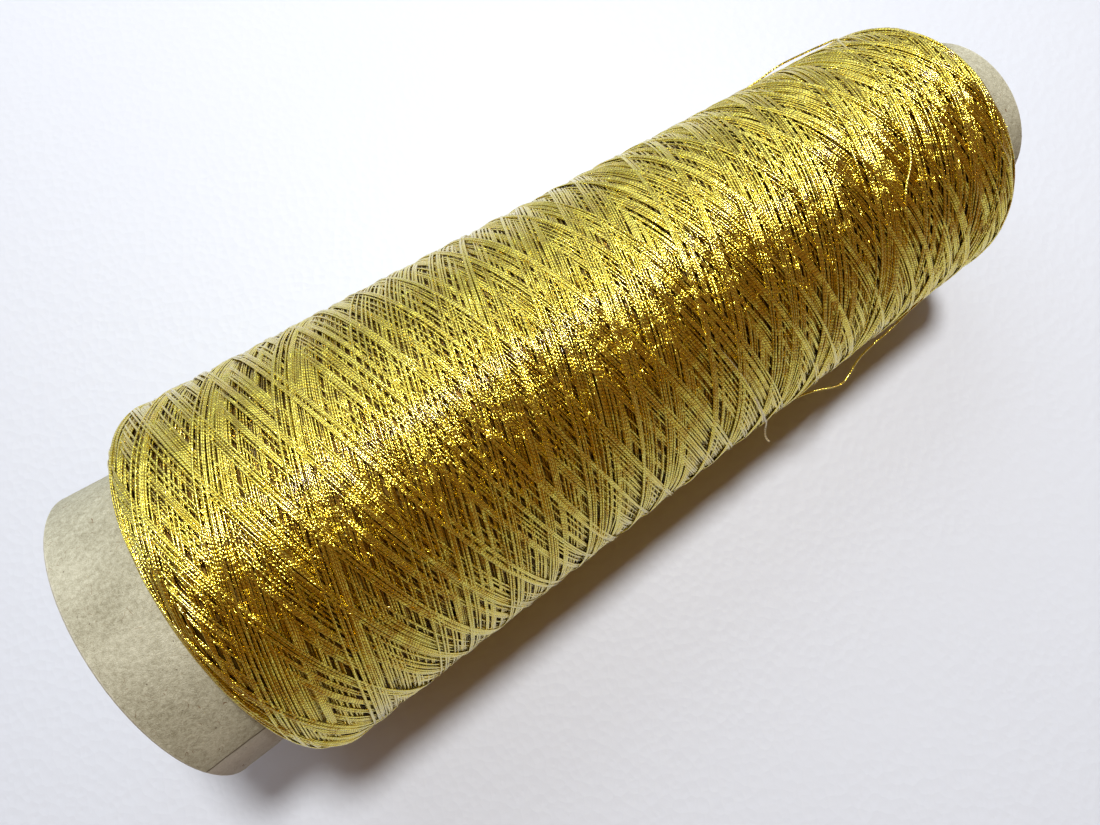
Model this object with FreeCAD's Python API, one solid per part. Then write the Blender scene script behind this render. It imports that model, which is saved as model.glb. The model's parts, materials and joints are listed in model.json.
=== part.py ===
import FreeCAD, Part
import math
import os

# A cross-wound cone of metallic thread, lying on its side. Millimetres, +Z up.
# The paper cone's axis runs from the base end at -X to the nose at +X. It dips towards the nose by
# the package's own half angle, so that the package lies flat along its lowest line.
# The origin is under the middle of the object, on the surface that it lies on.

# paper cone
CONE_LENGTH = 170.0
BASE_RADIUS = 25.8
CONE_HALF_ANGLE = 3.5
OUTER_PLY = 0.5
MIDDLE_PLIES = 1.4
INNER_PLY = 0.5
RIM_ROUNDING = 0.3
NOSE_LAND_LENGTH = 5.0
LAP_SEAM_AZIMUTH = -63.0
LAP_SEAM_WIDTH = 0.15
LAP_SEAM_DEPTH = 0.35

# thread package; its radius is given where its cone would meet the base end's plane
THREAD_DIAMETER = 0.38
PACKAGE_START = 11.5
PACKAGE_END = 161.0
PACKAGE_RADIUS = 32.6
PACKAGE_HALF_ANGLE = 3.075
SHOULDER_RADIUS = 6.5
END_COLLAR = 1.1
INNER_LAYERS_SHARE = 0.5
RESTING_FLAT_DEPTH = 0.35
TURN_CLEARANCE = 0.02

# Loose thread. Each point is its distance from the base end, its azimuth about the axis in degrees,
# 0 at the top and positive towards +Y, and its height above the package's cone.
RAISED_STRAND = [
    (128.5, 80.0, -0.25),
    (132.0, 74.0, 0.0),
    (136.2, 68.5, 0.2),
    (140.4, 66.2, 1.0),
    (144.8, 66.0, 0.9),
    (148.6, 66.4, 0.75),
    (151.2, 66.7, 0.6),
    (152.6, 64.6, 0.5),
    (152.4, 61.2, 0.4),
    (150.9, 56.8, 0.3),
    (149.2, 50.5, 0.2),
    (147.6, 43.5, 0.1),
    (146.0, 36.5, -0.25),
]
CROSSING_STRAND = [
    (145.2, 21.5, -0.25),
    (143.2, 14.5, 0.1),
    (141.3, 7.0, 0.25),
    (140.2, -0.5, 0.3),
    (139.6, -8.5, 0.3),
    (138.0, -15.5, 0.3),
    (135.2, -21.0, 0.3),
    (133.5, -28.5, 0.25),
    (133.1, -37.0, 0.1),
    (131.6, -45.0, -0.25),
]
HANGING_LOOP = [
    (107.0, -101.0, -0.25),
    (110.5, -95.0, 0.0),
    (114.4, -91.0, 1.2),
    (118.6, -89.5, 3.5),
    (121.6, -89.5, 2.5),
    (124.8, -91.0, 1.5),
    (128.8, -92.0, 1.1),
    (133.2, -91.0, 1.0),
    (136.8, -88.5, 0.3),
    (140.8, -85.0, 0.05),
    (144.6, -80.0, -0.25),
]
CUT_END = [
    (93.9, -24.0, -0.25),
    (95.5, -34.5, 0.1),
    (96.9, -45.0, 0.15),
    (98.2, -55.5, 0.15),
    (99.4, -66.0, 0.2),
    (100.8, -76.0, 0.2),
    (102.2, -83.5, 0.2),
    (102.9, -89.0, 0.5),
    (102.6, -92.5, 1.4),
    (102.2, -94.3, 2.6),
    (102.6, -94.9, 3.6),
]
BEND_SHARE = 0.45

AXIS = FreeCAD.Vector(1, 0, 0)
ZERO = FreeCAD.Vector(0, 0, 0)
CONE_TAPER = math.tan(math.radians(CONE_HALF_ANGLE))
PACKAGE_TAPER = math.tan(math.radians(PACKAGE_HALF_ANGLE))
TILT_SIN = math.sin(math.radians(PACKAGE_HALF_ANGLE))
TILT_COS = math.cos(math.radians(PACKAGE_HALF_ANGLE))
WALL = OUTER_PLY + MIDDLE_PLIES + INNER_PLY


def cone_radius(distance, depth=0.0):
    """Radius of the paper cone's outside, or of a surface that deep inside its wall."""
    return BASE_RADIUS - depth - distance * CONE_TAPER


def package_radius(distance):
    return PACKAGE_RADIUS - distance * PACKAGE_TAPER


NOSE_RADIUS = cone_radius(CONE_LENGTH)
SHIFT_X = -0.5 * (CONE_LENGTH * TILT_COS + (NOSE_RADIUS - BASE_RADIUS) * TILT_SIN)
SHIFT_Z = PACKAGE_RADIUS * TILT_COS - RESTING_FLAT_DEPTH


def place(shape):
    """Move a shape from the cone's own frame, axis along X and base end at X = 0, to the resting pose."""
    laid = shape.copy()
    laid.rotate(ZERO, FreeCAD.Vector(0, 1, 0), PACKAGE_HALF_ANGLE)
    laid.translate(FreeCAD.Vector(SHIFT_X, 0, SHIFT_Z))
    return laid


def place_point(x, y, z):
    return FreeCAD.Vector(
        SHIFT_X + x * TILT_COS + z * TILT_SIN,
        y,
        SHIFT_Z - x * TILT_SIN + z * TILT_COS,
    )


def revolved(edges):
    """Turn an outline in the plane Y = 0, X along the axis and Z the radius, into a solid."""
    face = Part.Face(Part.Wire(edges))
    return face.revolve(ZERO, AXIS, 360)


def outline(points):
    corners = [FreeCAD.Vector(x, 0, radius) for x, radius in points]
    return Part.makePolygon(corners + corners[:1]).Edges


def inner_ply():
    depth = OUTER_PLY + MIDDLE_PLIES
    land_start = CONE_LENGTH - NOSE_LAND_LENGTH
    land_radius = cone_radius(land_start, WALL)
    return revolved(
        outline(
            [
                (0, cone_radius(0, WALL)),
                (land_start, land_radius),
                (CONE_LENGTH, land_radius),
                (CONE_LENGTH, cone_radius(CONE_LENGTH, depth)),
                (0, cone_radius(0, depth)),
            ]
        )
    )


def middle_plies():
    inside = OUTER_PLY + MIDDLE_PLIES
    return revolved(
        outline(
            [
                (0, cone_radius(0, inside)),
                (CONE_LENGTH, cone_radius(CONE_LENGTH, inside)),
                (CONE_LENGTH, cone_radius(CONE_LENGTH, OUTER_PLY)),
                (0, cone_radius(0, OUTER_PLY)),
            ]
        )
    )


def outer_ply():
    ring = revolved(
        outline(
            [
                (0, cone_radius(0, OUTER_PLY)),
                (CONE_LENGTH, cone_radius(CONE_LENGTH, OUTER_PLY)),
                (CONE_LENGTH, cone_radius(CONE_LENGTH, RIM_ROUNDING)),
                (CONE_LENGTH - RIM_ROUNDING, cone_radius(CONE_LENGTH - RIM_ROUNDING)),
                (RIM_ROUNDING, cone_radius(RIM_ROUNDING)),
                (0, cone_radius(0, RIM_ROUNDING)),
            ]
        )
    )
    return ring.cut(lap_seam())


def lap_seam():
    """The narrow gap at the edge of the outer ply, which runs the whole length of the cone."""
    overrun = 2.0
    slot = Part.makeBox(
        CONE_LENGTH + 2 * overrun,
        LAP_SEAM_WIDTH,
        overrun,
        FreeCAD.Vector(-overrun, -LAP_SEAM_WIDTH / 2, 0),
    )
    slot.rotate(ZERO, FreeCAD.Vector(0, 1, 0), CONE_HALF_ANGLE)
    slot.translate(FreeCAD.Vector(0, 0, BASE_RADIUS - LAP_SEAM_DEPTH))
    slot.rotate(ZERO, AXIS, -LAP_SEAM_AZIMUTH)
    return slot


def layer_split_radius(distance):
    """Radius of the surface between the inner and the outer layers of thread."""
    inside = cone_radius(distance)
    return inside + INNER_LAYERS_SHARE * (package_radius(distance) - inside)


def inner_layers():
    start = PACKAGE_START + END_COLLAR
    end = PACKAGE_END - END_COLLAR
    return revolved(
        outline(
            [
                (start, cone_radius(start)),
                (end, cone_radius(end)),
                (end, layer_split_radius(end)),
                (start, layer_split_radius(start)),
            ]
        )
    )


def shoulder(distance, way):
    """The round shoulder at one end of the package: its arc, from the end face to the cone surface."""
    middle_x = distance + way * SHOULDER_RADIUS
    middle_r = package_radius(middle_x) - SHOULDER_RADIUS / TILT_COS
    lean = math.radians(PACKAGE_HALF_ANGLE)
    top = FreeCAD.Vector(
        middle_x + SHOULDER_RADIUS * math.sin(lean),
        0,
        middle_r + SHOULDER_RADIUS * math.cos(lean),
    )
    foot = FreeCAD.Vector(distance, 0, middle_r)
    half = math.radians(45) + way * lean / 2
    crown = FreeCAD.Vector(
        middle_x - way * SHOULDER_RADIUS * math.cos(half),
        0,
        middle_r + SHOULDER_RADIUS * math.sin(half),
    )
    return foot, crown, top


def outer_layers():
    start = PACKAGE_START + END_COLLAR
    end = PACKAGE_END - END_COLLAR
    base_foot, base_crown, base_top = shoulder(PACKAGE_START, 1)
    nose_foot, nose_crown, nose_top = shoulder(PACKAGE_END, -1)
    corners = [
        base_foot,
        FreeCAD.Vector(PACKAGE_START, 0, cone_radius(PACKAGE_START)),
        FreeCAD.Vector(start, 0, cone_radius(start)),
        FreeCAD.Vector(start, 0, layer_split_radius(start)),
        FreeCAD.Vector(end, 0, layer_split_radius(end)),
        FreeCAD.Vector(end, 0, cone_radius(end)),
        FreeCAD.Vector(PACKAGE_END, 0, cone_radius(PACKAGE_END)),
        nose_foot,
    ]
    edges = Part.makePolygon(corners).Edges
    edges.append(Part.Arc(nose_foot, nose_crown, nose_top).toShape())
    edges.append(Part.LineSegment(nose_top, base_top).toShape())
    edges.append(Part.Arc(base_top, base_crown, base_foot).toShape())
    return revolved(edges)


def below_floor():
    reach = 2 * CONE_LENGTH
    return Part.makeBox(reach, reach, reach, FreeCAD.Vector(-reach / 2, -reach / 2, -reach))


def base_edge_turns():
    """Three turns that have slid off the shoulder: two on the cone and one on top of them."""
    radius = THREAD_DIAMETER / 2
    pitch = THREAD_DIAMETER + TURN_CLEARANCE
    first = PACKAGE_START - radius - TURN_CLEARANCE
    rings = []
    for step, level in ((0, 0), (1, 0), (0, 1)):
        distance = first - step * pitch
        ring_radius = cone_radius(distance) + radius + 2 * TURN_CLEARANCE + level * pitch
        centre = FreeCAD.Vector(distance, 0, 0)
        rings.append(Part.makeTorus(ring_radius, radius, centre, AXIS))
    return Part.makeCompound(rings)


def loose_route(points):
    route = []
    for distance, azimuth, lift in points:
        radius = package_radius(distance) + lift
        angle = math.radians(azimuth)
        route.append(place_point(distance, radius * math.sin(angle), radius * math.cos(angle)))
    return route


def bend_sizes(route):
    """The radius at each inner point of a route, from the shorter of its two runs."""
    sizes = []
    for before, here, after in zip(route, route[1:], route[2:]):
        turn = (here - before).getAngle(after - here)
        run = min((here - before).Length, (after - here).Length)
        sizes.append(BEND_SHARE * run / math.tan(turn / 2))
    return sizes


def thread_tube(name, points):
    """A thread along straight runs joined by tangent arcs."""
    route = loose_route(points)
    sizes = bend_sizes(route)
    edges = []
    last = route[0]
    for before, here, after, size in zip(route, route[1:], route[2:], sizes):
        turn = (here - before).getAngle(after - here)
        back = size * math.tan(turn / 2)
        into = (before - here).normalize()
        out = (after - here).normalize()
        enter = here + into * back
        leave = here + out * back
        inward = (into + out).normalize()
        centre_distance = size / math.cos(turn / 2)
        middle = here + inward * (centre_distance - size)
        edges.append(Part.LineSegment(last, enter).toShape())
        edges.append(Part.Arc(enter, middle, leave).toShape())
        last = leave
    edges.append(Part.LineSegment(last, route[-1]).toShape())
    path = Part.Wire(edges)
    start_way = (route[1] - route[0]).normalize()
    circle = Part.Wire(Part.Circle(route[0], start_way, THREAD_DIAMETER / 2).toShape())
    tube = path.makePipeShell([circle], True, True)
    section = math.pi * THREAD_DIAMETER**2 / 4
    print(
        f"{name}: length {path.Length:.1f} mm, smallest radius {min(sizes):.2f} mm,"
        f" volume over section times length {tube.Volume / (section * path.Length):.3f},"
        f" lowest {tube.BoundBox.ZMin:.2f} mm, runs"
        f" {[round((b - a).Length, 1) for a, b in zip(route, route[1:])]}"
    )
    return tube


def export(name, shape):
    shape.exportStep(f"parts/{name}.step")
    box = shape.BoundBox
    print(
        f"{name}: solids {len(shape.Solids)}, volume {shape.Volume:.1f} mm3, valid {shape.isValid()},"
        f" X {box.XMin:.2f} {box.XMax:.2f}, Y {box.YMin:.2f} {box.YMax:.2f},"
        f" Z {box.ZMin:.2f} {box.ZMax:.2f}"
    )


def main():
    os.makedirs("parts", exist_ok=True)
    export("cone_inner_ply", place(inner_ply()))
    export("cone_middle_plies", place(middle_plies()))
    export("cone_outer_ply", place(outer_ply()))
    export("thread_inner_layers", place(inner_layers()))
    export("thread_outer_layers", place(outer_layers()).cut(below_floor()))
    export("base_edge_turns", place(base_edge_turns()))
    export("raised_strand", thread_tube("raised_strand", RAISED_STRAND))
    export("crossing_strand", thread_tube("crossing_strand", CROSSING_STRAND))
    export("hanging_loop", thread_tube("hanging_loop", HANGING_LOOP))
    export("cut_end", thread_tube("cut_end", CUT_END))


main()
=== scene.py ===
"""A cone of gold metallic thread, lying on its side.

The package is wound as on a winding machine. One endless thread goes to and fro along the cone, and each
pass is laid as a taut line over what is already there, so strands cross, bridge and leave small gaps.
"""
import json
import math

import bpy
import numpy as np
from mathutils import Matrix, Vector


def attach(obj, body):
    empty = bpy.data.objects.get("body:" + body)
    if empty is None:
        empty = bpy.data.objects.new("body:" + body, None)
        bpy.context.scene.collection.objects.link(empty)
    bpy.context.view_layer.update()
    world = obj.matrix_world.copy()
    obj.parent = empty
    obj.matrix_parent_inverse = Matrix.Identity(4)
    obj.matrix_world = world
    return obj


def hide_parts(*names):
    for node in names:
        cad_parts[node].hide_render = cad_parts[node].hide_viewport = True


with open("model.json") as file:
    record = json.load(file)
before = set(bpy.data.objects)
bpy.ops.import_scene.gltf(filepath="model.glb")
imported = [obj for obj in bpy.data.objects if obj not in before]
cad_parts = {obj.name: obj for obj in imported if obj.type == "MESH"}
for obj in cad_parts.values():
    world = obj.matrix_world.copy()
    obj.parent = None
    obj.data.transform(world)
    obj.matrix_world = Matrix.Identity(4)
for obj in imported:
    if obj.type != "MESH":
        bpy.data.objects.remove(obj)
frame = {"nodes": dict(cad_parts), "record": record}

BODY = "root"
MM = 0.001

# The cone and the package, as the CAD has them. Lengths are in millimetres.
CONE_LENGTH = 170.0
CONE_BASE_RADIUS = 25.8
CONE_HALF_ANGLE = math.radians(3.5)
PACKAGE_START = 11.5
PACKAGE_END = 161.0
PACKAGE_RADIUS = 32.6
PACKAGE_HALF_ANGLE = math.radians(3.075)
SHOULDER_RADIUS = 6.5
THREAD_RADIUS = 0.19

# Names of what the meshes carry for their material.
THREAD_UV = "along_thread"
HEIGHT_NAME = "height_in_winding"

# The camera: a wide lens close above the package. Its place is in metres.
CAMERA_PLACE = (-0.02562, -0.02453, 0.16102)
CAMERA_AZIMUTH = math.radians(34.0)
CAMERA_ELEVATION = math.radians(79.86)
CAMERA_LENS = 25.23
SENSOR_WIDTH = 36.0
NEAREST_SEEN = 0.005


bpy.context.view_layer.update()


def add_camera():
    data = bpy.data.cameras.new("camera")
    data.lens = CAMERA_LENS
    data.sensor_width = SENSOR_WIDTH
    data.clip_start = NEAREST_SEEN
    camera = bpy.data.objects.new("camera", data)
    level = math.cos(CAMERA_ELEVATION)
    forward = Vector(
        (
            math.sin(CAMERA_AZIMUTH) * level,
            math.cos(CAMERA_AZIMUTH) * level,
            -math.sin(CAMERA_ELEVATION),
        )
    )
    right = Vector((math.cos(CAMERA_AZIMUTH), -math.sin(CAMERA_AZIMUTH), 0.0))
    up = right.cross(forward)
    turn = Matrix((right, up, -forward)).transposed()
    camera.matrix_world = Matrix.Translation(CAMERA_PLACE) @ turn.to_4x4()
    bpy.context.scene.collection.objects.link(camera)
    bpy.context.scene.camera = camera


add_camera()


# ---------------------------------------------------------------- places about the cone's axis


def cone_radius(distance):
    return CONE_BASE_RADIUS - distance * math.tan(CONE_HALF_ANGLE)


def package_radius(distance):
    return PACKAGE_RADIUS - distance * math.tan(PACKAGE_HALF_ANGLE)


def mount(name):
    """The record's mount of this name."""
    return next(entry for entry in frame["record"]["mounts"] if entry["name"] == name)


# The cone's axis towards the nose, the direction of +Y, and the one square to both on the upper side.
AXIS = np.array(mount("nose_bore")["axis"], float)
SIDE = np.array((0.0, 1.0, 0.0))
LIFT = np.cross(AXIS, SIDE)
NOSE_LAND = mount("nose_bore")["dims"]["length_mm"]
LAND_MIDDLE = np.array(mount("nose_bore")["pos_m"], float) / MM
BASE_CENTRE = LAND_MIDDLE - AXIS * (CONE_LENGTH - NOSE_LAND / 2)


def outward(azimuth):
    """Unit vectors square to the axis; azimuth 0 is the top and a quarter turn is +Y."""
    azimuth = np.asarray(azimuth, float)[..., None]
    return np.cos(azimuth) * LIFT + np.sin(azimuth) * SIDE


def place(distance, radius, azimuth):
    """Points of the row frame, in millimetres."""
    distance = np.asarray(distance, float)[..., None]
    radius = np.asarray(radius, float)[..., None]
    return BASE_CENTRE + distance * AXIS + radius * outward(azimuth)


# ---------------------------------------------------------------- mesh helpers


def add_mesh(name, points, faces, uv, material, height=None):
    """A smooth piece that rides on the object, from points in millimetres and UVs of face corners.

    The height of each point in the winding, where there is one, is kept for the material.
    """
    mesh = bpy.data.meshes.new(name)
    mesh.from_pydata((np.asarray(points) * MM).tolist(), [], faces)
    mesh.materials.append(material)
    layer = mesh.uv_layers.new(name=THREAD_UV)
    layer.uv.foreach_set("vector", np.asarray(uv, np.float32).ravel())
    if height is not None:
        mesh.attributes.new(HEIGHT_NAME, "FLOAT", "POINT").data.foreach_set("value", height)
    mesh.polygons.foreach_set("use_smooth", [True] * len(mesh.polygons))
    mesh.update()
    piece = bpy.data.objects.new(name, mesh)
    bpy.context.scene.collection.objects.link(piece)
    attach(piece, BODY)
    return piece


def tube(points, normals, high, wide, sides, length_start=0.0, strand=0):
    """A closed tube of half height high and half width wide: vertices, faces, and UVs of face corners.

    U is the length along it in millimetres. V is the strand's number plus the turn round it, from 0 to 1.
    """
    points = np.asarray(points, float)
    count = len(points)
    along = np.gradient(points, axis=0)
    across = np.cross(along, normals)
    across /= np.linalg.norm(across, axis=1, keepdims=True)
    above = np.cross(across, along)
    above /= np.linalg.norm(above, axis=1, keepdims=True)
    angle = 2 * math.pi * np.arange(sides) / sides
    rise = np.multiply.outer(high * np.ones(count), np.cos(angle))
    reach = np.multiply.outer(wide * np.ones(count), np.sin(angle))
    vertices = points[:, None] + rise[..., None] * above[:, None] + reach[..., None] * across[:, None]

    first = np.arange(count - 1)[:, None] * sides
    side = np.arange(sides)[None, :]
    after = (side + 1) % sides
    quads = np.stack((first + side, first + after, first + sides + after, first + sides + side), -1)
    last = (count - 1) * sides
    caps = [list(range(sides))[::-1], list(range(last, last + sides))]

    steps = np.linalg.norm(np.diff(points, axis=0), axis=1)
    length = length_start + np.concatenate(([0.0], np.cumsum(steps)))
    turned = strand + np.arange(sides + 1) / sides
    corner_u = np.stack((length[:-1], length[:-1], length[1:], length[1:]), -1)
    corner_v = np.stack((turned[:-1], turned[1:], turned[1:], turned[:-1]), -1)
    quad_uv = np.stack(np.broadcast_arrays(corner_u[:, None], corner_v[None]), -1).reshape(-1, 2)
    cap_uv = np.repeat(((length[0], strand), (length[-1], strand)), sides, axis=0)
    return vertices.reshape(-1, 3), quads.reshape(-1, 4).tolist() + caps, np.concatenate((quad_uv, cap_uv))


# ---------------------------------------------------------------- the package's outline


class Outline:
    """The package's outline from its foot at the base to its foot at the nose, by the length walked."""

    def __init__(self):
        lean = PACKAGE_HALF_ANGLE
        size = SHOULDER_RADIUS
        self.base_centre = self.shoulder_centre(PACKAGE_START + size)
        self.nose_centre = self.shoulder_centre(PACKAGE_END - size)
        side_length = (self.nose_centre[0] - self.base_centre[0]) / math.cos(lean)
        self.side_start = size * (math.pi / 2 + lean)
        self.side_end = self.side_start + side_length
        self.face_start = self.side_end + size * (math.pi / 2 - lean)
        self.length = self.face_start + self.nose_centre[1] - cone_radius(PACKAGE_END)

    def shoulder_centre(self, distance):
        return distance, package_radius(distance) - SHOULDER_RADIUS / math.cos(PACKAGE_HALF_ANGLE)

    def at(self, walked, height=0.0):
        """Distance along the axis, radius, and the outline's normal as an angle from the axis."""
        walked = np.asarray(walked, float)
        lean = PACKAGE_HALF_ANGLE
        side_angle = math.pi / 2 - lean
        on_base = walked < self.side_start
        on_side = ~on_base & (walked < self.side_end)
        nose_angle = side_angle - (walked - self.side_end) / SHOULDER_RADIUS
        angle = np.where(on_base, math.pi - walked / SHOULDER_RADIUS, np.maximum(nose_angle, 0.0))
        angle = np.where(on_side, side_angle, angle)
        slid = np.where(on_side, walked - self.side_start, 0.0)
        sunk = np.maximum(walked - self.face_start, 0.0)
        by_nose = walked >= self.side_end
        centre_along = np.where(by_nose, self.nose_centre[0], self.base_centre[0] + slid * math.cos(lean))
        centre_out = np.where(by_nose, self.nose_centre[1], self.base_centre[1] - slid * math.sin(lean))
        reach = SHOULDER_RADIUS + height
        distance = centre_along + reach * np.cos(angle)
        radius = centre_out + reach * np.sin(angle) - sunk
        return distance, radius, angle

    def points(self, walked, height, azimuth):
        """Points of the row frame and the outline's normals there."""
        distance, radius, angle = self.at(walked, height)
        normals = np.cos(angle)[..., None] * AXIS + np.sin(angle)[..., None] * outward(azimuth)
        return place(distance, radius, azimuth), normals


OUTLINE = Outline()


# ---------------------------------------------------------------- winding

# How the thread is laid. Spacing, scatter and shift are in thread pitches. Sway, rounding and wander are
# in radians about the axis, with rates for each cycle and waves for each traverse.
WINDING_ANGLE = math.radians(15.5)
THREAD_PITCH = 0.385
BANDS = 8
CYCLES = 336
SPACING = 0.86
SPACING_SWING = 0.14
SLOW_SWING = 0.045
FAST_SWING = 0.21
STRAND_SCATTER = 0.14
BAND_SHIFT = 6.0
SPARE_BANDS = 0.4
NOSE_SWAY = 0.1
NOSE_SWAY_RATE = 0.09
ROUND_OFF = (0.15, 0.7)
WANDER_LONG = 0.11
LONG_WAVES = 1.3
WANDER_SHORT = 0.05
SHORT_WAVES = 2.9
WANDER_CHANGE = 0.45
WINDING_SEED = 11

# The map of the surface so far, and how strands settle on it. Lengths and heights are in millimetres.
COLUMNS = 1440
ROW = 0.1
FOOTPRINT_ROWS = 2
CONTACT_RADIUS = 0.13
FLATNESS = 0.55
HIGHEST_LAY = 0.2
SETTLING_WIDTH = 2.0
SEEN_DEPTH = 0.12
OUTLINE_SAMPLES = 4000


class Winding:
    """One thread laid over the package on a map of how high the surface stands so far."""

    def __init__(self):
        walked = np.linspace(0.0, OUTLINE.length, OUTLINE_SAMPLES)
        _, radius, _ = OUTLINE.at(walked)
        slope = 1.0 / (radius * math.tan(WINDING_ANGLE))
        steps = 0.5 * (slope[1:] + slope[:-1]) * np.diff(walked)
        self.walked_at = walked
        self.turned_at = np.concatenate(([0.0], np.cumsum(steps)))
        self.full_turn = self.turned_at[-1]
        self.rows = int(OUTLINE.length / ROW) + 2 * FOOTPRINT_ROWS + 2
        self.surface = np.zeros((self.rows, COLUMNS))
        self.settled = np.zeros((self.rows, COLUMNS))

    def settle(self):
        """Press wide hills down and let wide hollows fill, as tension does, and keep the package's size."""
        rows = np.fft.fftfreq(2 * self.rows, ROW)
        columns = np.fft.rfftfreq(COLUMNS, 2 * math.pi * package_radius(CONE_LENGTH / 2) / COLUMNS)
        blur = np.exp(-2 * (math.pi * SETTLING_WIDTH) ** 2 * (rows[:, None] ** 2 + columns[None] ** 2))
        mirrored = np.concatenate((self.surface, self.surface[::-1]))
        smooth = np.fft.irfft2(np.fft.rfft2(mirrored) * blur, s=mirrored.shape)[: self.rows]
        self.surface -= smooth
        self.settled += smooth

    def plan(self):
        """Where each straight stretch would meet the base foot, how round it reverses, and its wander.

        Azimuths grow without end along the thread. A stretch up meets the foot at its start, and the
        stretch down that follows meets it at its end. Stretches laid side by side wander alike.
        """
        draw = np.random.default_rng(WINDING_SEED)
        cycle = np.arange(CYCLES)
        pitch_turn = THREAD_PITCH / (package_radius(CONE_LENGTH / 2) * math.sin(WINDING_ANGLE))
        spacing = SPACING + SPACING_SWING * np.sin(SLOW_SWING * cycle)
        spacing += SPACING_SWING * np.sin(FAST_SWING * cycle + 1.0)
        drift = np.cumsum(spacing) * pitch_turn / BANDS
        bands_passed = math.ceil(self.full_turn / math.pi * BANDS + SPARE_BANDS)
        cycle_turn = 2 * math.pi * bands_passed / BANDS
        spare = cycle_turn - 2 * self.full_turn
        band_of = cycle * bands_passed % BANDS
        scatter = draw.standard_normal((2, CYCLES)) * STRAND_SCATTER * pitch_turn
        uneven = draw.uniform(-BAND_SHIFT, BAND_SHIFT, (2, BANDS)) * pitch_turn
        up = cycle * cycle_turn + drift + scatter[0] + uneven[0, band_of]
        down = cycle * cycle_turn + drift + scatter[1] + uneven[1, band_of]
        down += 2 * self.full_turn + 0.5 * spare + NOSE_SWAY * np.sin(NOSE_SWAY_RATE * cycle)
        round_off = draw.uniform(*ROUND_OFF, 2 * CYCLES)
        visit = cycle // BANDS
        changes = draw.standard_normal((4, CYCLES // BANDS + 1, BANDS)) * WANDER_CHANGE
        strolls = np.cumsum(changes, axis=1)
        phases = strolls[:, visit, band_of] + draw.uniform(0.0, 2 * math.pi, (4, BANDS))[:, band_of]
        wander = np.stack((phases[:2], phases[2:]), -1).reshape(2, -1)
        return up, down, round_off, wander

    def passes(self):
        """The columns and lengths walked of each pass, from one reversal to the next."""
        up, down, round_off, wander = self.plan()
        lines = np.stack((up, down), -1).ravel()
        column_turn = 2 * math.pi / COLUMNS
        meets = 0.5 * (lines[1:] + lines[:-1])
        for index in range(1, len(lines) - 1):
            first = math.ceil(meets[index - 1] / column_turn)
            last = math.ceil(meets[index] / column_turn)
            column = np.arange(first, last)
            azimuth = column * column_turn
            going_up = index % 2 == 0
            way = 1.0 if going_up else -1.0
            line = way * (azimuth - lines[index])
            share = 2 * math.pi * line / self.full_turn
            line += WANDER_LONG * np.sin(LONG_WAVES * share + wander[0, index])
            line += WANDER_SHORT * np.sin(SHORT_WAVES * share + wander[1, index])
            from_start = azimuth - meets[index - 1]
            to_finish = meets[index] - azimuth
            line += way * (np.hypot(from_start, round_off[index - 1]) - from_start)
            line -= way * (np.hypot(to_finish, round_off[index]) - to_finish)
            walked = np.interp(line, self.turned_at, self.walked_at)
            yield column, walked

    def lay(self, column, walked):
        """Heights of the centreline of one taut pass, which then becomes part of the surface."""
        azimuth = column * (2 * math.pi / COLUMNS)
        _, radius, angle = OUTLINE.at(walked)
        row = np.rint(walked / ROW).astype(int) + FOOTPRINT_ROWS
        offsets = np.arange(-FOOTPRINT_ROWS, FOOTPRINT_ROWS + 1)
        rows = np.clip(row[:, None] + offsets, 0, self.rows - 1)
        columns = np.broadcast_to((column % COLUMNS)[:, None], rows.shape)
        aside = ((rows - FOOTPRINT_ROWS) * ROW - walked[:, None]) * math.cos(WINDING_ANGLE)
        rest = FLATNESS * np.sqrt(np.maximum(CONTACT_RADIUS**2 - aside**2, 0.0))
        under = self.surface[rows, columns]
        support = np.max(np.where(np.abs(aside) < CONTACT_RADIUS, under + rest, -np.inf), axis=1)
        # A taut line is straight in space, so the package's roundness is taken off while it is stretched.
        step = np.hypot(radius * (2 * math.pi / COLUMNS), np.gradient(walked))
        length = np.cumsum(step)
        curve = math.cos(WINDING_ANGLE) ** 2 * np.sin(angle) / radius
        slope = np.cumsum(curve * step)
        bow = np.cumsum(slope * step)
        height = np.minimum(taut(length, support - bow) + bow, HIGHEST_LAY)
        top = height[:, None] + FLATNESS * np.sqrt(np.maximum(THREAD_RADIUS**2 - aside**2, 0.0))
        inside = np.abs(aside) < THREAD_RADIUS
        np.maximum.at(self.surface, (rows[inside], columns[inside]), top[inside])
        return azimuth, height, row

    def run(self):
        """The whole thread, one row per column crossed, and each row's pass.

        A row is the azimuth, the length walked, the height, and whether it shows.
        """
        thread = []
        for index, (column, walked) in enumerate(self.passes()):
            azimuth, height, row = self.lay(column, walked)
            at = (row, column % COLUMNS)
            thread.append((azimuth, walked, height + self.settled[at], at))
            if index % (2 * BANDS) == 2 * BANDS - 1:
                self.settle()
        self.settle()
        finished = []
        for azimuth, walked, height, at in thread:
            height = height - self.settled[at]
            finished.append(np.stack((azimuth, walked, height, self.shows(walked, height, at)), -1))
        numbers = np.repeat(np.arange(len(finished)), [len(rows) for rows in finished])
        return np.concatenate(finished), numbers

    def shows(self, walked, height, at):
        """Whether any of the thread's width comes within the seen depth of the top of the map."""
        row, column = at
        seen = np.zeros(len(row), bool)
        for offset in range(-FOOTPRINT_ROWS, FOOTPRINT_ROWS + 1):
            beside = np.clip(row + offset, 0, self.rows - 1)
            aside = ((beside - FOOTPRINT_ROWS) * ROW - walked) * math.cos(WINDING_ANGLE)
            top = height + FLATNESS * np.sqrt(np.maximum(THREAD_RADIUS**2 - aside**2, 0.0))
            seen |= top > self.surface[beside, column] - SEEN_DEPTH
        return seen


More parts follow.
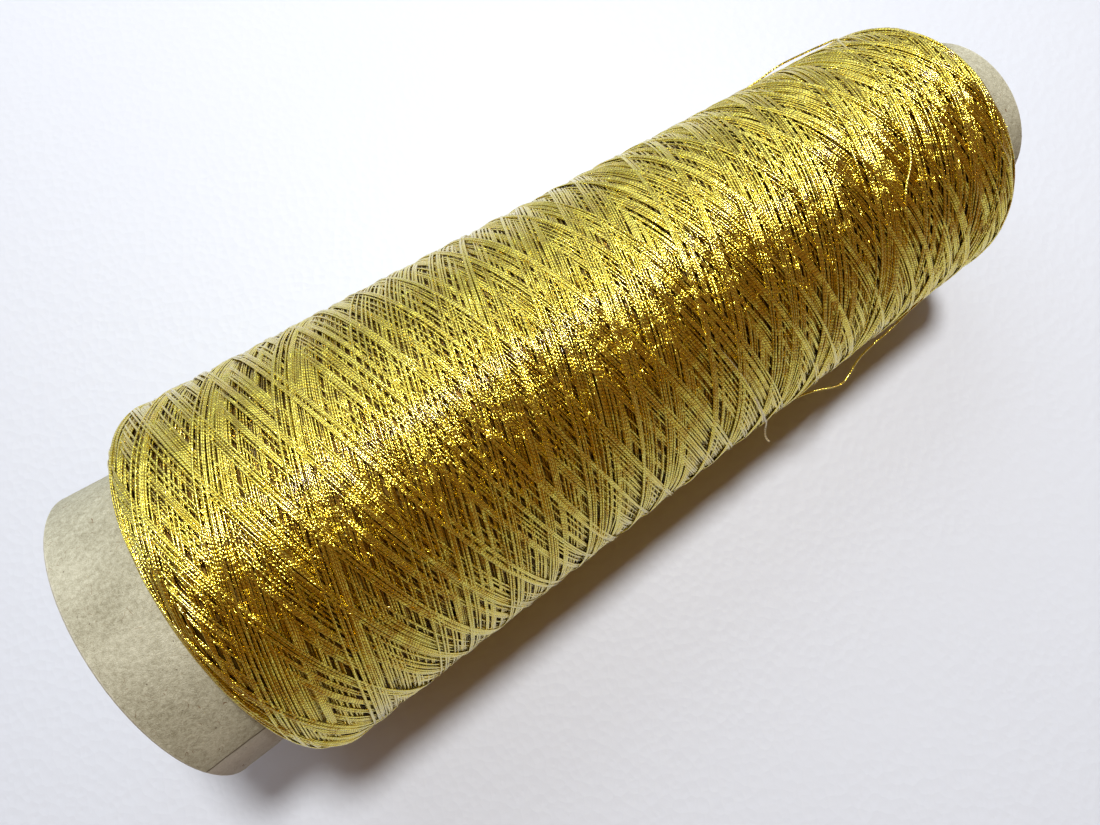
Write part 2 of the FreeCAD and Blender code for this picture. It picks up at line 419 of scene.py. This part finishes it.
def taut(length, height):
    """The heights of a line stretched over these heights: it touches the tops and bridges the rest."""
    kept = [0]
    for index in range(1, len(length)):
        while len(kept) > 1:
            a, b = kept[-2], kept[-1]
            rise_ab = (height[b] - height[a]) * (length[index] - length[a])
            rise_ai = (height[index] - height[a]) * (length[b] - length[a])
            if rise_ab > rise_ai:
                break
            kept.pop()
        kept.append(index)
    return np.interp(length, length[kept], height[kept])


# ---------------------------------------------------------------- material nodes


class Shader:
    """A material, or the world, and short ways to add its nodes. Each way returns the node's output."""

    def __init__(self, owner):
        owner.use_nodes = True
        self.owner = owner
        self.tree = owner.node_tree
        self.tree.nodes.clear()

    def node(self, kind, inputs=(), **settings):
        node = self.tree.nodes.new(kind)
        for key, value in settings.items():
            setattr(node, key, value)
        for key, value in dict(inputs).items():
            if isinstance(value, bpy.types.NodeSocket):
                self.tree.links.new(value, node.inputs[key])
            else:
                node.inputs[key].default_value = value
        return node

    def math(self, operation, first, second=0.0, third=0.0):
        inputs = {0: first, 1: second, 2: third}
        return self.node("ShaderNodeMath", inputs, operation=operation).outputs[0]

    def smooth(self, value, low, high):
        """0 below low and 1 above high, or the other way round when low is the larger."""
        inputs = {"Value": value, "From Min": low, "From Max": high}
        return self.node("ShaderNodeMapRange", inputs, interpolation_type="SMOOTHSTEP").outputs[0]

    def mix(self, factor, first, second):
        inputs = {0: factor, 6: (*first, 1.0) if isinstance(first, tuple) else first}
        inputs[7] = (*second, 1.0) if isinstance(second, tuple) else second
        return self.node("ShaderNodeMix", inputs, data_type="RGBA").outputs[2]

    def stretched(self, value, contrast):
        """A value about 0.5, drawn away from it by the contrast."""
        return self.math("MULTIPLY_ADD", value, contrast, 0.5 - 0.5 * contrast)

    def noise(self, vector, scale, detail=3.0, roughness=0.5, distortion=0.0):
        inputs = {"Vector": vector, "Scale": scale, "Detail": detail}
        inputs.update({"Roughness": roughness, "Distortion": distortion})
        return self.node("ShaderNodeTexNoise", inputs).outputs["Fac"]

    def vector(self, x, y, z=0.0):
        return self.node("ShaderNodeCombineXYZ", {0: x, 1: y, 2: z}).outputs[0]

    def split(self, vector):
        return self.node("ShaderNodeSeparateXYZ", {0: vector}).outputs

    def scaled(self, vector, x, y, z):
        inputs = {0: vector, 1: (x, y, z)}
        return self.node("ShaderNodeVectorMath", inputs, operation="MULTIPLY").outputs[0]

    def dot(self, vector, axis):
        inputs = {0: vector, 1: tuple(axis)}
        return self.node("ShaderNodeVectorMath", inputs, operation="DOT_PRODUCT").outputs["Value"]

    def from_base(self, place_mm):
        """The arm from the centre of the cone's base end to a place."""
        offset = {0: place_mm, 1: tuple(BASE_CENTRE)}
        return self.node("ShaderNodeVectorMath", offset, operation="SUBTRACT").outputs[0]

    def radius(self, arm):
        """Distance from the cone's axis."""
        square = {0: arm, 1: tuple(AXIS)}
        across = self.node("ShaderNodeVectorMath", square, operation="CROSS_PRODUCT").outputs[0]
        return self.node("ShaderNodeVectorMath", {0: across}, operation="LENGTH").outputs["Value"]

    def millimetres(self):
        """The place on the object in millimetres of the row frame."""
        place_output = self.node("ShaderNodeTexCoord").outputs["Object"]
        return self.scaled(place_output, 1 / MM, 1 / MM, 1 / MM)

    def bump(self, height, millimetres, normal=None):
        inputs = {"Height": height, "Distance": millimetres * MM}
        if normal is not None:
            inputs["Normal"] = normal
        return self.node("ShaderNodeBump", inputs).outputs[0]

    def finish(self, **inputs):
        spoken = {key.replace("_", " "): value for key, value in inputs.items()}
        surface = self.node("ShaderNodeBsdfPrincipled", spoken).outputs[0]
        self.node("ShaderNodeOutputMaterial", {"Surface": surface})
        return self.owner


# ---------------------------------------------------------------- materials

# Twisted film. A facet leans by its own share and by a share that it has in common with its patch.
TWIST_PERIOD = 0.55
TWIST_DEPTH = 0.026
FACET_DEPTH = 0.16
PATCH_SCALE = 0.5
PATCH_CONTRAST = 2.8
PATCH_SHARE = 0.62
USUAL_LEAN = 0.8
RARE_LEAN = 2.4
RARITY = 4.0
DRIFT_SCALE = 0.03
# Painted shade in the grooves between the beads: how far up the bead it reaches, its tone as a share of the
# deep colour, and the share of the unshaded crown that the most shaded bead keeps.
GROOVE_SHADE_WIDTH = 0.6
GROOVE_SHADE_TONE = 0.28
MOST_SHADED_BEAD = 0.78
COAT_WEIGHT = 0.6
COAT_ROUGHNESS = 0.14
COAT_IOR = 1.55

# Thread below the surface takes a painted shade, which deepens between these two heights in the winding.
OPEN_HEIGHT = -0.1
BURIED_HEIGHT = -0.7
BURIED_SHADE_COLOUR = (0.26, 0.155, 0.015)

# Recycled board. Scales are per millimetre; the lap's widths and the rim are in millimetres.
SEAM_AZIMUTH = math.radians(-63.0)
CLOUD_SCALE = 0.09
PULP_SCALE = 1.5
GRAIN_SCALE = 6.0
FIBRE_SCALE = 0.33
SPECK_SCALE = 2.3
PLY_SCALE = 5.0
STRIP_WIDTH = (8.0, 12.0)
RIM_WIDTH = (0.1, 0.55)
STRIP_COLOUR = (0.56, 0.53, 0.5)
SEAM_COLOUR = (0.1, 0.075, 0.05)
FIBRE_COLOUR = (0.16, 0.1, 0.05)
SPECK_COLOUR = (0.07, 0.045, 0.025)
RIM_COLOUR = (0.72, 0.69, 0.6)
PLY_LINE_COLOUR = (0.2, 0.16, 0.1)
BOARD_RELIEF = 0.16
BOARD_ROUGHNESS = 0.88

TABLE_COLOUR = (0.565, 0.602, 0.675)
TABLE_GRAIN_SCALE = 0.55
TABLE_RELIEF = 0.07


def twisted_film(name, deep, light, rough, metallic=1.0):
    """Thread wrapped in a twisted film: a row of slanting beads, each leaning a little its own way, with
    painted shade in the grooves between the beads and on thread that lies low in the winding.
    """
    shader = Shader(bpy.data.materials.new(name))
    uv = shader.node("ShaderNodeUVMap", uv_map=THREAD_UV).outputs[0]
    along, strand_and_turn, _ = shader.split(uv)
    strand = shader.math("FLOOR", strand_and_turn)
    turns = shader.math("MULTIPLY_ADD", along, 1 / TWIST_PERIOD, strand_and_turn)
    bead = shader.math("FLOOR", turns)
    inside = shader.math("FRACT", turns)
    crown = shader.math("SINE", shader.math("MULTIPLY", inside, math.pi))
    which = shader.vector(bead, strand)
    own = shader.node("ShaderNodeTexWhiteNoise", {"Vector": which}, noise_dimensions="2D").outputs["Value"]
    spark = shader.math("FRACT", shader.math("MULTIPLY", own, 7.3))
    shared = shader.stretched(shader.noise(shader.millimetres(), PATCH_SCALE, 1.0), PATCH_CONTRAST)
    common = shader.math("MULTIPLY", shared, PATCH_SHARE)
    lean = shader.math("MULTIPLY_ADD", own, 1.0 - PATCH_SHARE, common)
    rare = shader.math("POWER", spark, RARITY)
    amount = shader.math("MULTIPLY_ADD", rare, RARE_LEAN, USUAL_LEAN)
    facet = shader.math("MULTIPLY", shader.math("SUBTRACT", lean, 0.5), inside)
    facet = shader.math("MULTIPLY", facet, amount)

    slow_along = shader.math("MULTIPLY", along, DRIFT_SCALE)
    drift = shader.noise(shader.vector(slow_along, strand), 1.0, 2.0)
    shade = shader.math("MULTIPLY_ADD", lean, 0.35, shader.math("SUBTRACT", drift, 0.17))
    # Painted shade: the grooves between beads darken towards a dark share of the deep colour, and beads
    # picked at random take a little more of it.
    groove_unshaded = shader.smooth(crown, 0.0, GROOVE_SHADE_WIDTH)
    bead_unshaded = shader.math("MULTIPLY_ADD", spark, 1.0 - MOST_SHADED_BEAD, MOST_SHADED_BEAD)
    groove_unshaded = shader.math("MULTIPLY", groove_unshaded, bead_unshaded)
    worn = shader.mix(shade, deep, light)
    groove_shade = tuple(GROOVE_SHADE_TONE * part for part in deep)
    colour = shader.mix(groove_unshaded, groove_shade, worn)
    # Painted shade: thread lower in the winding darkens towards the buried shade colour.
    height = shader.node("ShaderNodeAttribute", attribute_name=HEIGHT_NAME).outputs["Fac"]
    colour = shader.mix(shader.smooth(height, BURIED_HEIGHT, OPEN_HEIGHT), BURIED_SHADE_COLOUR, colour)
    roughness = shader.math("MULTIPLY_ADD", drift, 0.2, rough - 0.1)
    normal = shader.bump(crown, TWIST_DEPTH)
    normal = shader.bump(facet, FACET_DEPTH, normal)
    return shader.finish(
        Base_Color=colour,
        Metallic=metallic,
        Roughness=roughness,
        Normal=normal,
        Coat_Weight=COAT_WEIGHT,
        Coat_Roughness=COAT_ROUGHNESS,
        Coat_IOR=COAT_IOR,
    )


def shaded_deep_thread(name):
    """Thread in the depth of the winding, seen only through the gaps, coloured near black as painted shade,
    with faint streaks.
    """
    shader = Shader(bpy.data.materials.new(name))
    place_mm = shader.millimetres()
    streaks = shader.noise(shader.scaled(place_mm, 3.0, 0.4, 0.4), 1.0, 4.0)
    # Painted shade: near-black and dark brown stand for the shade in the gaps, varied by the streaks.
    colour = shader.mix(streaks, (0.04, 0.018, 0.002), (0.22, 0.12, 0.015))
    return shader.finish(Base_Color=colour, Metallic=0.8, Roughness=0.5, Normal=shader.bump(streaks, 0.2))


def paperboard(name, pale, dull, seam_strength=0.0):
    """Grey recycled board: mottled pulp, short fibres, dark specks, ply lines on the cut ends, worn rims.

    A seam strength above 0 darkens the line where the ply laps, and leaves the strip below it paler.
    """
    shader = Shader(bpy.data.materials.new(name))
    place_mm = shader.millimetres()
    arm = shader.from_base(place_mm)
    radius = shader.radius(arm)
    clouds = shader.noise(place_mm, CLOUD_SCALE, 3.0, 0.5)
    pulp = shader.noise(place_mm, PULP_SCALE, 6.0, 0.68)
    grain = shader.noise(place_mm, GRAIN_SCALE, 3.0, 0.6)
    tone = shader.math("MULTIPLY_ADD", pulp, 1.5, shader.math("MULTIPLY_ADD", clouds, 0.9, -0.7))
    tone = shader.math("MULTIPLY_ADD", grain, 0.6, shader.math("SUBTRACT", tone, 0.3))
    colour = shader.mix(tone, dull, pale)

    # How far round from the seam, in millimetres, with a slight waver. The strip is on the minus side.
    azimuth = shader.math("ARCTAN2", shader.dot(arm, SIDE), shader.dot(arm, LIFT))
    past = shader.math("MULTIPLY", shader.math("SUBTRACT", azimuth, SEAM_AZIMUTH), radius)
    waver = shader.noise(place_mm, 0.35, 2.0)
    past = shader.math("ADD", past, shader.math("MULTIPLY_ADD", waver, 0.5, -0.25))
    strip_near, strip_far = STRIP_WIDTH
    near_edge = shader.smooth(past, 0.1, -0.3)
    strip = shader.math("MULTIPLY", near_edge, shader.smooth(past, -strip_far, -strip_near))
    colour = shader.mix(shader.math("MULTIPLY", strip, 0.5 * seam_strength), colour, STRIP_COLOUR)
    line = shader.smooth(shader.math("ABSOLUTE", past), 0.3, 0.08)
    colour = shader.mix(shader.math("MULTIPLY", line, 0.75 * seam_strength), colour, SEAM_COLOUR)

    thread_like = shader.noise(place_mm, FIBRE_SCALE, 1.5, 0.4, 1.2)
    nearness = shader.math("ABSOLUTE", shader.math("SUBTRACT", thread_like, 0.5))
    fibre = shader.smooth(nearness, 0.008, 0.002)
    some = shader.smooth(shader.noise(place_mm, 0.5, 1.0), 0.58, 0.65)
    colour = shader.mix(shader.math("MULTIPLY", fibre, some), colour, FIBRE_COLOUR)

    speck = shader.smooth(shader.noise(place_mm, SPECK_SCALE, 0.0), 0.85, 0.89)
    colour = shader.mix(shader.math("MULTIPLY", speck, 0.85), colour, SPECK_COLOUR)

    distance = shader.dot(arm, AXIS)
    end_distance = shader.math("MINIMUM", distance, shader.math("SUBTRACT", CONE_LENGTH, distance))
    rim_worn, rim_whole = RIM_WIDTH
    rim = shader.smooth(end_distance, rim_whole, rim_worn)
    normal_out = shader.node("ShaderNodeNewGeometry").outputs["Normal"]
    facing_end = shader.smooth(shader.math("ABSOLUTE", shader.dot(normal_out, AXIS)), 0.8, 0.95)
    ply = shader.noise(shader.vector(radius, 0.0), PLY_SCALE, 2.0, 0.7)
    ply_line = shader.math("MULTIPLY", shader.smooth(ply, 0.5, 0.36), facing_end)
    colour = shader.mix(shader.math("MULTIPLY", rim, 0.35), colour, RIM_COLOUR)
    colour = shader.mix(shader.math("MULTIPLY", ply_line, 0.6), colour, PLY_LINE_COLOUR)

    relief = shader.math("MULTIPLY_ADD", grain, 0.35, pulp)
    relief = shader.math("MULTIPLY_ADD", ply_line, -0.8, relief)
    normal = shader.bump(relief, BOARD_RELIEF)
    return shader.finish(
        Base_Color=colour,
        Roughness=BOARD_ROUGHNESS,
        Normal=normal,
        Specular_IOR_Level=0.25,
    )


def tabletop(name):
    """A pale table with a faint leather-like grain."""
    shader = Shader(bpy.data.materials.new(name))
    place_mm = shader.millimetres()
    grain = {"Vector": place_mm, "Scale": TABLE_GRAIN_SCALE}
    cells = shader.node("ShaderNodeTexVoronoi", grain).outputs["Distance"]
    roughness = shader.math("MULTIPLY_ADD", shader.noise(place_mm, 0.02, 3.0), 0.2, 0.42)
    normal = shader.bump(cells, TABLE_RELIEF)
    return shader.finish(Base_Color=(*TABLE_COLOUR, 1.0), Roughness=roughness, Normal=normal)


GOLD = twisted_film("gold_thread", (0.9, 0.62, 0.03), (0.99, 0.96, 0.2), 0.19)
PALE = twisted_film("pale_thread", (0.62, 0.5, 0.25), (0.85, 0.78, 0.5), 0.45, metallic=0.6)
DEEP_SHADE_MATERIAL = shaded_deep_thread("shaded_deep_thread")
OUTER_BOARD = paperboard("paperboard_outer", (0.52, 0.51, 0.40), (0.2, 0.185, 0.12), 1.0)
MIDDLE_BOARD = paperboard("paperboard_middle", (0.46, 0.43, 0.34), (0.24, 0.21, 0.15))
INNER_BOARD = paperboard("paperboard_inner", (0.49, 0.47, 0.39), (0.26, 0.24, 0.17))


# ---------------------------------------------------------------- loose thread

LOOSE_SIDES = 10
LINE_STEPS = 12
RINGS_PER_BEAD = 6
SLIGHT_BULGE = 0.1
STRONG_BULGE = 0.22

# Each point is its distance from the base end, its azimuth in degrees, and its height above the package.
RAISED_STRAND = [
    (128.5, 80.0, -0.25),
    (132.0, 74.0, 0.0),
    (136.2, 68.5, 0.2),
    (140.4, 66.2, 1.0),
    (144.8, 66.0, 0.9),
    (148.6, 66.4, 0.75),
    (151.2, 66.7, 0.6),
    (152.6, 64.6, 0.5),
    (152.4, 61.2, 0.4),
    (150.9, 56.8, 0.3),
    (149.2, 50.5, 0.2),
    (147.6, 43.5, 0.1),
    (146.0, 36.5, -0.25),
]
CROSSING_STRAND = [
    (145.2, 21.5, -0.25),
    (143.2, 14.5, 0.1),
    (141.3, 7.0, 0.25),
    (140.2, -0.5, 0.3),
    (139.6, -8.5, 0.3),
    (138.0, -15.5, 0.3),
    (135.2, -21.0, 0.3),
    (133.5, -28.5, 0.25),
    (133.1, -37.0, 0.1),
    (131.6, -45.0, -0.25),
]
HANGING_LOOP = [
    (107.0, -101.0, -0.25),
    (110.5, -95.0, 0.0),
    (114.4, -91.0, 1.2),
    (118.6, -89.5, 3.5),
    (121.6, -89.5, 2.5),
    (124.8, -91.0, 1.5),
    (128.8, -92.0, 1.1),
    (133.2, -91.0, 1.0),
    (136.8, -88.5, 0.3),
    (140.8, -85.0, 0.05),
    (144.6, -80.0, -0.25),
]
CUT_END = [
    (93.9, -24.0, -0.25),
    (95.5, -34.5, 0.1),
    (96.9, -45.0, 0.15),
    (98.2, -55.5, 0.15),
    (99.4, -66.0, 0.2),
    (100.8, -76.0, 0.2),
    (102.2, -83.5, 0.2),
    (102.9, -89.0, 0.5),
    (102.6, -92.5, 1.4),
    (102.2, -94.3, 2.6),
    (102.6, -94.9, 3.6),
]


def smooth_line(route):
    """Points in metres on the NURBS line that has the route's points as its control points."""
    curve = bpy.data.curves.new("route", "CURVE")
    curve.dimensions = "3D"
    curve.resolution_u = LINE_STEPS
    spline = curve.splines.new("NURBS")
    spline.points.add(len(route) - 1)
    for point, (distance, azimuth, lift) in zip(spline.points, route):
        x, y, z = place(distance, package_radius(distance) + lift, math.radians(azimuth)) * MM
        point.co = (x, y, z, 1.0)
    spline.order_u = 3
    spline.use_endpoint_u = True
    guide = bpy.data.objects.new("route", curve)
    line = np.array([vertex.co for vertex in bpy.data.meshes.new_from_object(guide).vertices])
    bpy.data.objects.remove(guide)
    bpy.data.curves.remove(curve)
    return line


def carried(line, first):
    """A direction square to the line, carried along it without twisting."""
    along = np.gradient(line, axis=0)
    along /= np.linalg.norm(along, axis=1, keepdims=True)
    normals = []
    normal = np.asarray(first, float)
    for direction in along:
        normal = normal - direction * (normal @ direction)
        normal = normal / np.linalg.norm(normal)
        normals.append(normal)
    return np.array(normals)


def add_loose_thread(name, route, material, bulge):
    """A free thread along its route, thicker at each bead of its twist by the given share."""
    line = smooth_line(route)
    steps = np.linalg.norm(np.diff(line, axis=0), axis=1)
    walked = np.concatenate(([0.0], np.cumsum(steps))) / MM
    fine = np.linspace(0.0, walked[-1], int(walked[-1] / (TWIST_PERIOD / RINGS_PER_BEAD)))
    points = np.stack([np.interp(fine, walked, line[:, part]) for part in range(3)], -1)
    bead = np.abs(np.sin(math.pi * fine / TWIST_PERIOD))
    radius = THREAD_RADIUS * (1 - bulge + bulge * bead)
    normals = carried(points, outward(math.radians(route[0][1])))
    vertices, faces, uv = tube(points / MM, normals, radius, radius, LOOSE_SIDES)
    piece = add_mesh(name + "_thread", vertices, faces, uv, material)
    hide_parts(name)


add_loose_thread("raised_strand", RAISED_STRAND, GOLD, SLIGHT_BULGE)
add_loose_thread("crossing_strand", CROSSING_STRAND, GOLD, SLIGHT_BULGE)
add_loose_thread("hanging_loop", HANGING_LOOP, GOLD, SLIGHT_BULGE)
add_loose_thread("cut_end", CUT_END, PALE, STRONG_BULGE)


# ---------------------------------------------------------------- the wound thread

# The layers underneath: how far below the surface they are, and how far they reach into the board.
UNDER_DEPTH = 0.7
UNDER_STEPS = 120
UNDER_SEGMENTS = 240
BURIED = 0.2

# The strands that show, flattened by tension. A tube has one ring for every few columns of the map.
HALF_HEIGHT = 0.115
HALF_WIDTH = 0.17
TUBE_SIDES = 6
RING_COLUMNS = 12
RINGS_PER_PIECE = 16000
REPEAT_BEADS = 1000


def add_under_layers():
    """The body of the winding below the strands that show: a closed ring, its inside in the board."""
    walked = np.linspace(0.0, OUTLINE.length, UNDER_STEPS)
    distance, radius, _ = OUTLINE.at(walked, -UNDER_DEPTH)
    foot = np.array((distance[-1], distance[0]))
    profile = np.concatenate((distance, foot)), np.concatenate((radius, cone_radius(foot) - BURIED))
    steps = len(profile[0])
    azimuth = 2 * math.pi * np.arange(UNDER_SEGMENTS) / UNDER_SEGMENTS
    points = place(profile[0][None], profile[1][None], azimuth[:, None]).reshape(-1, 3)
    ring = np.arange(UNDER_SEGMENTS)[:, None] * steps
    ring_after = np.roll(ring, -1, axis=0)
    step = np.arange(steps)[None]
    step_after = np.roll(step, -1, axis=1)
    faces = np.stack((ring + step, ring_after + step, ring_after + step_after, ring + step_after), -1)
    faces = faces.reshape(-1, 4)
    uv = np.zeros((faces.size, 2))
    piece = add_mesh("thread_under_layers", points, faces.tolist(), uv, DEEP_SHADE_MATERIAL)
    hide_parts("thread_outer_layers")


def shown_runs(shown):
    """First and last ring of each unbroken stretch of rings that show."""
    edges = np.flatnonzero(np.diff(np.concatenate(([False], shown, [False])).astype(int)))
    starts, ends = edges[::2], edges[1::2]
    long_enough = ends - starts > 1
    return list(zip(starts[long_enough], ends[long_enough]))


def add_strands():
    """Tubes along every stretch of the winding that shows, gathered into pieces of a fair size."""
    thread, strand_of = Winding().run()
    groups = len(thread) // RING_COLUMNS
    group_shown = thread[: groups * RING_COLUMNS, 3].reshape(groups, RING_COLUMNS).any(axis=1)
    shown = np.zeros(groups, bool)
    shown |= group_shown
    shown[1:] |= group_shown[:-1]
    azimuth, walked, height = thread[: groups * RING_COLUMNS : RING_COLUMNS, :3].T
    strand = strand_of[: groups * RING_COLUMNS : RING_COLUMNS]
    points, normals = OUTLINE.points(walked, height, azimuth)
    points[:, 2] = np.maximum(points[:, 2], HALF_HEIGHT)
    steps = np.linalg.norm(np.diff(points, axis=0), axis=1)
    length = np.concatenate(([0.0], np.cumsum(steps))) % (REPEAT_BEADS * TWIST_PERIOD)

    gathered = []
    rings = 0
    pieces = 0
    for start, end in shown_runs(shown):
        if gathered and rings + end - start > RINGS_PER_PIECE:
            pieces += 1
            add_gathered(pieces, gathered)
            gathered = []
            rings = 0
        part = slice(start, end)
        shape = tube(
            points[part],
            normals[part],
            HALF_HEIGHT,
            HALF_WIDTH,
            TUBE_SIDES,
            length[start],
            strand[start],
        )
        gathered.append((*shape, np.repeat(height[part], TUBE_SIDES)))
        rings += end - start
    add_gathered(pieces + 1, gathered)


def add_gathered(number, tubes):
    """One piece made of several tubes."""
    vertices, faces, uv, heights = [], [], [], []
    offset = 0
    for tube_vertices, tube_faces, tube_uv, height in tubes:
        vertices.append(tube_vertices)
        uv.append(tube_uv)
        heights.append(height)
        faces.extend([[corner + offset for corner in face] for face in tube_faces])
        offset += len(tube_vertices)
    points = np.concatenate(vertices)
    name = f"thread_strands_{number}"
    piece = add_mesh(name, points, faces, np.concatenate(uv), GOLD, np.concatenate(heights))
    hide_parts("thread_outer_layers")


# The loose turns at the base edge. Each sway is a size, a rate for each turn round, and a phase.
EDGE_TURNS = 3
EDGE_STEPS = 150
EDGE_TUCK = 0.5
EDGE_TUCK_RUN = 2.5
EDGE_SWAYS = ((0.1, 2.3, 0.4), (0.06, 7.1, 0.0))
EDGE_SPREAD_RATE = 1.9
EDGE_CLIMB_START = 1.6
EDGE_RIPPLE = (0.03, 5.3)


def add_base_edge_turns():
    """Turns that slid off the base shoulder and lie on the cone at the package's foot."""
    turned = np.linspace(-EDGE_TUCK, EDGE_TURNS + EDGE_TUCK, EDGE_STEPS * (EDGE_TURNS + 1))
    tucked = np.maximum(-turned, turned - EDGE_TURNS).clip(0.0)
    pitch = 2 * THREAD_RADIUS
    sway = sum(size * np.sin(rate * turned + phase) for size, rate, phase in EDGE_SWAYS)
    spread = pitch * (1 + np.sin(EDGE_SPREAD_RATE * turned)) / 2
    distance = PACKAGE_START - THREAD_RADIUS - spread + sway + EDGE_TUCK_RUN * tucked
    ripple_size, ripple_rate = EDGE_RIPPLE
    lift = pitch * np.clip(turned - EDGE_CLIMB_START, 0.0, 1.0) + ripple_size * np.sin(ripple_rate * turned)
    radius = cone_radius(distance) + THREAD_RADIUS + lift.clip(0.0) - tucked
    azimuth = 2 * math.pi * turned
    points = place(distance, radius, azimuth)
    vertices, faces, uv = tube(points, outward(azimuth), THREAD_RADIUS, THREAD_RADIUS, LOOSE_SIDES)
    piece = add_mesh("edge_turns", vertices, faces, uv, GOLD)
    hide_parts("base_edge_turns")


def dress(node, material):
    """A CAD node keeps its shape and takes this material."""
    mesh = frame["nodes"][node].data
    mesh.materials.clear()
    mesh.materials.append(material)


add_under_layers()
add_strands()
add_base_edge_turns()
dress("cone_outer_ply", OUTER_BOARD)
dress("cone_middle_plies", MIDDLE_BOARD)
dress("cone_inner_ply", INNER_BOARD)
dress("thread_inner_layers", DEEP_SHADE_MATERIAL)


# ---------------------------------------------------------------- table, light and surroundings

# Lengths are in metres. The middle height is that of the cone's axis, which the lights point at.
TABLE_HALF = 3.0
KEY_DISTANCE = 0.62
KEY_FORWARD = 0.2
KEY_ELEVATION = math.radians(76.0)
KEY_SIZE = 0.11
KEY_POWER = 4.6
KEY_COLOUR = (1.0, 0.98, 0.94)
WINDOW_DIRECTION = (0.05, 0.75, 0.62)
WINDOW_DISTANCE = 0.9
WINDOW_SIZE = (0.8, 0.5)
WINDOW_POWER = 2.8
WINDOW_COLOUR = (0.88, 0.94, 1.0)
MIDDLE_HEIGHT = 0.03

# The room's colours, high up and near the table's level, on its two sides.
SURROUND_STRENGTH = 0.75
WARM_ABOVE = (0.25, 0.11, 0.025)
BRIGHT_ABOVE = (0.66, 0.71, 0.78)
WARM_LEVEL = (0.53, 0.40, 0.26)
BRIGHT_LEVEL = (0.56, 0.60, 0.66)


def add_table():
    mesh = bpy.data.meshes.new("table")
    corners = [(x * TABLE_HALF, y * TABLE_HALF, 0.0) for x, y in ((-1, -1), (1, -1), (1, 1), (-1, 1))]
    mesh.from_pydata(corners, [], [(0, 1, 2, 3)])
    mesh.materials.append(tabletop("tabletop"))
    table = bpy.data.objects.new("table", mesh)
    bpy.context.scene.collection.objects.link(table)


def add_key_light():
    data = bpy.data.lights.new("key", "AREA")
    data.shape = "DISK"
    data.size = KEY_SIZE
    data.energy = KEY_POWER
    data.color = KEY_COLOUR
    key = bpy.data.objects.new("key", data)
    towards = Vector((KEY_FORWARD, math.cos(KEY_ELEVATION), math.sin(KEY_ELEVATION))).normalized()
    key.location = Vector((0.0, 0.0, MIDDLE_HEIGHT)) + towards * KEY_DISTANCE
    key.rotation_euler = towards.to_track_quat("Z", "Y").to_euler()
    bpy.context.scene.collection.objects.link(key)


def add_window_light():
    """A broad cool light on the side towards +Y."""
    data = bpy.data.lights.new("window", "AREA")
    data.shape = "RECTANGLE"
    data.size, data.size_y = WINDOW_SIZE
    data.energy = WINDOW_POWER
    data.color = WINDOW_COLOUR
    window = bpy.data.objects.new("window", data)
    towards = Vector(WINDOW_DIRECTION).normalized()
    window.location = Vector((0.0, 0.0, MIDDLE_HEIGHT)) + towards * WINDOW_DISTANCE
    window.rotation_euler = towards.to_track_quat("Z", "Y").to_euler()
    bpy.context.scene.collection.objects.link(window)


def add_surroundings():
    """A dim warm room, bright on the side towards +Y and pale all round near the level of the table."""
    world = bpy.data.worlds.new("surroundings")
    bpy.context.scene.world = world
    shader = Shader(world)
    direction = shader.node("ShaderNodeTexCoord").outputs["Generated"]
    _, side, up = shader.split(direction)
    bright_side = shader.smooth(side, -0.15, 0.6)
    level = shader.smooth(up, 0.32, 0.16)
    above = shader.mix(bright_side, WARM_ABOVE, BRIGHT_ABOVE)
    beside = shader.mix(bright_side, WARM_LEVEL, BRIGHT_LEVEL)
    colour = shader.mix(level, above, beside)
    background = shader.node("ShaderNodeBackground", {"Color": colour, "Strength": SURROUND_STRENGTH})
    shader.node("ShaderNodeOutputWorld", {"Surface": background.outputs[0]})


add_table()
add_key_light()
add_window_light()
add_surroundings()
bpy.context.scene.view_settings.view_transform = "Standard"
bpy.context.scene.cycles.denoising_prefilter = "NONE"
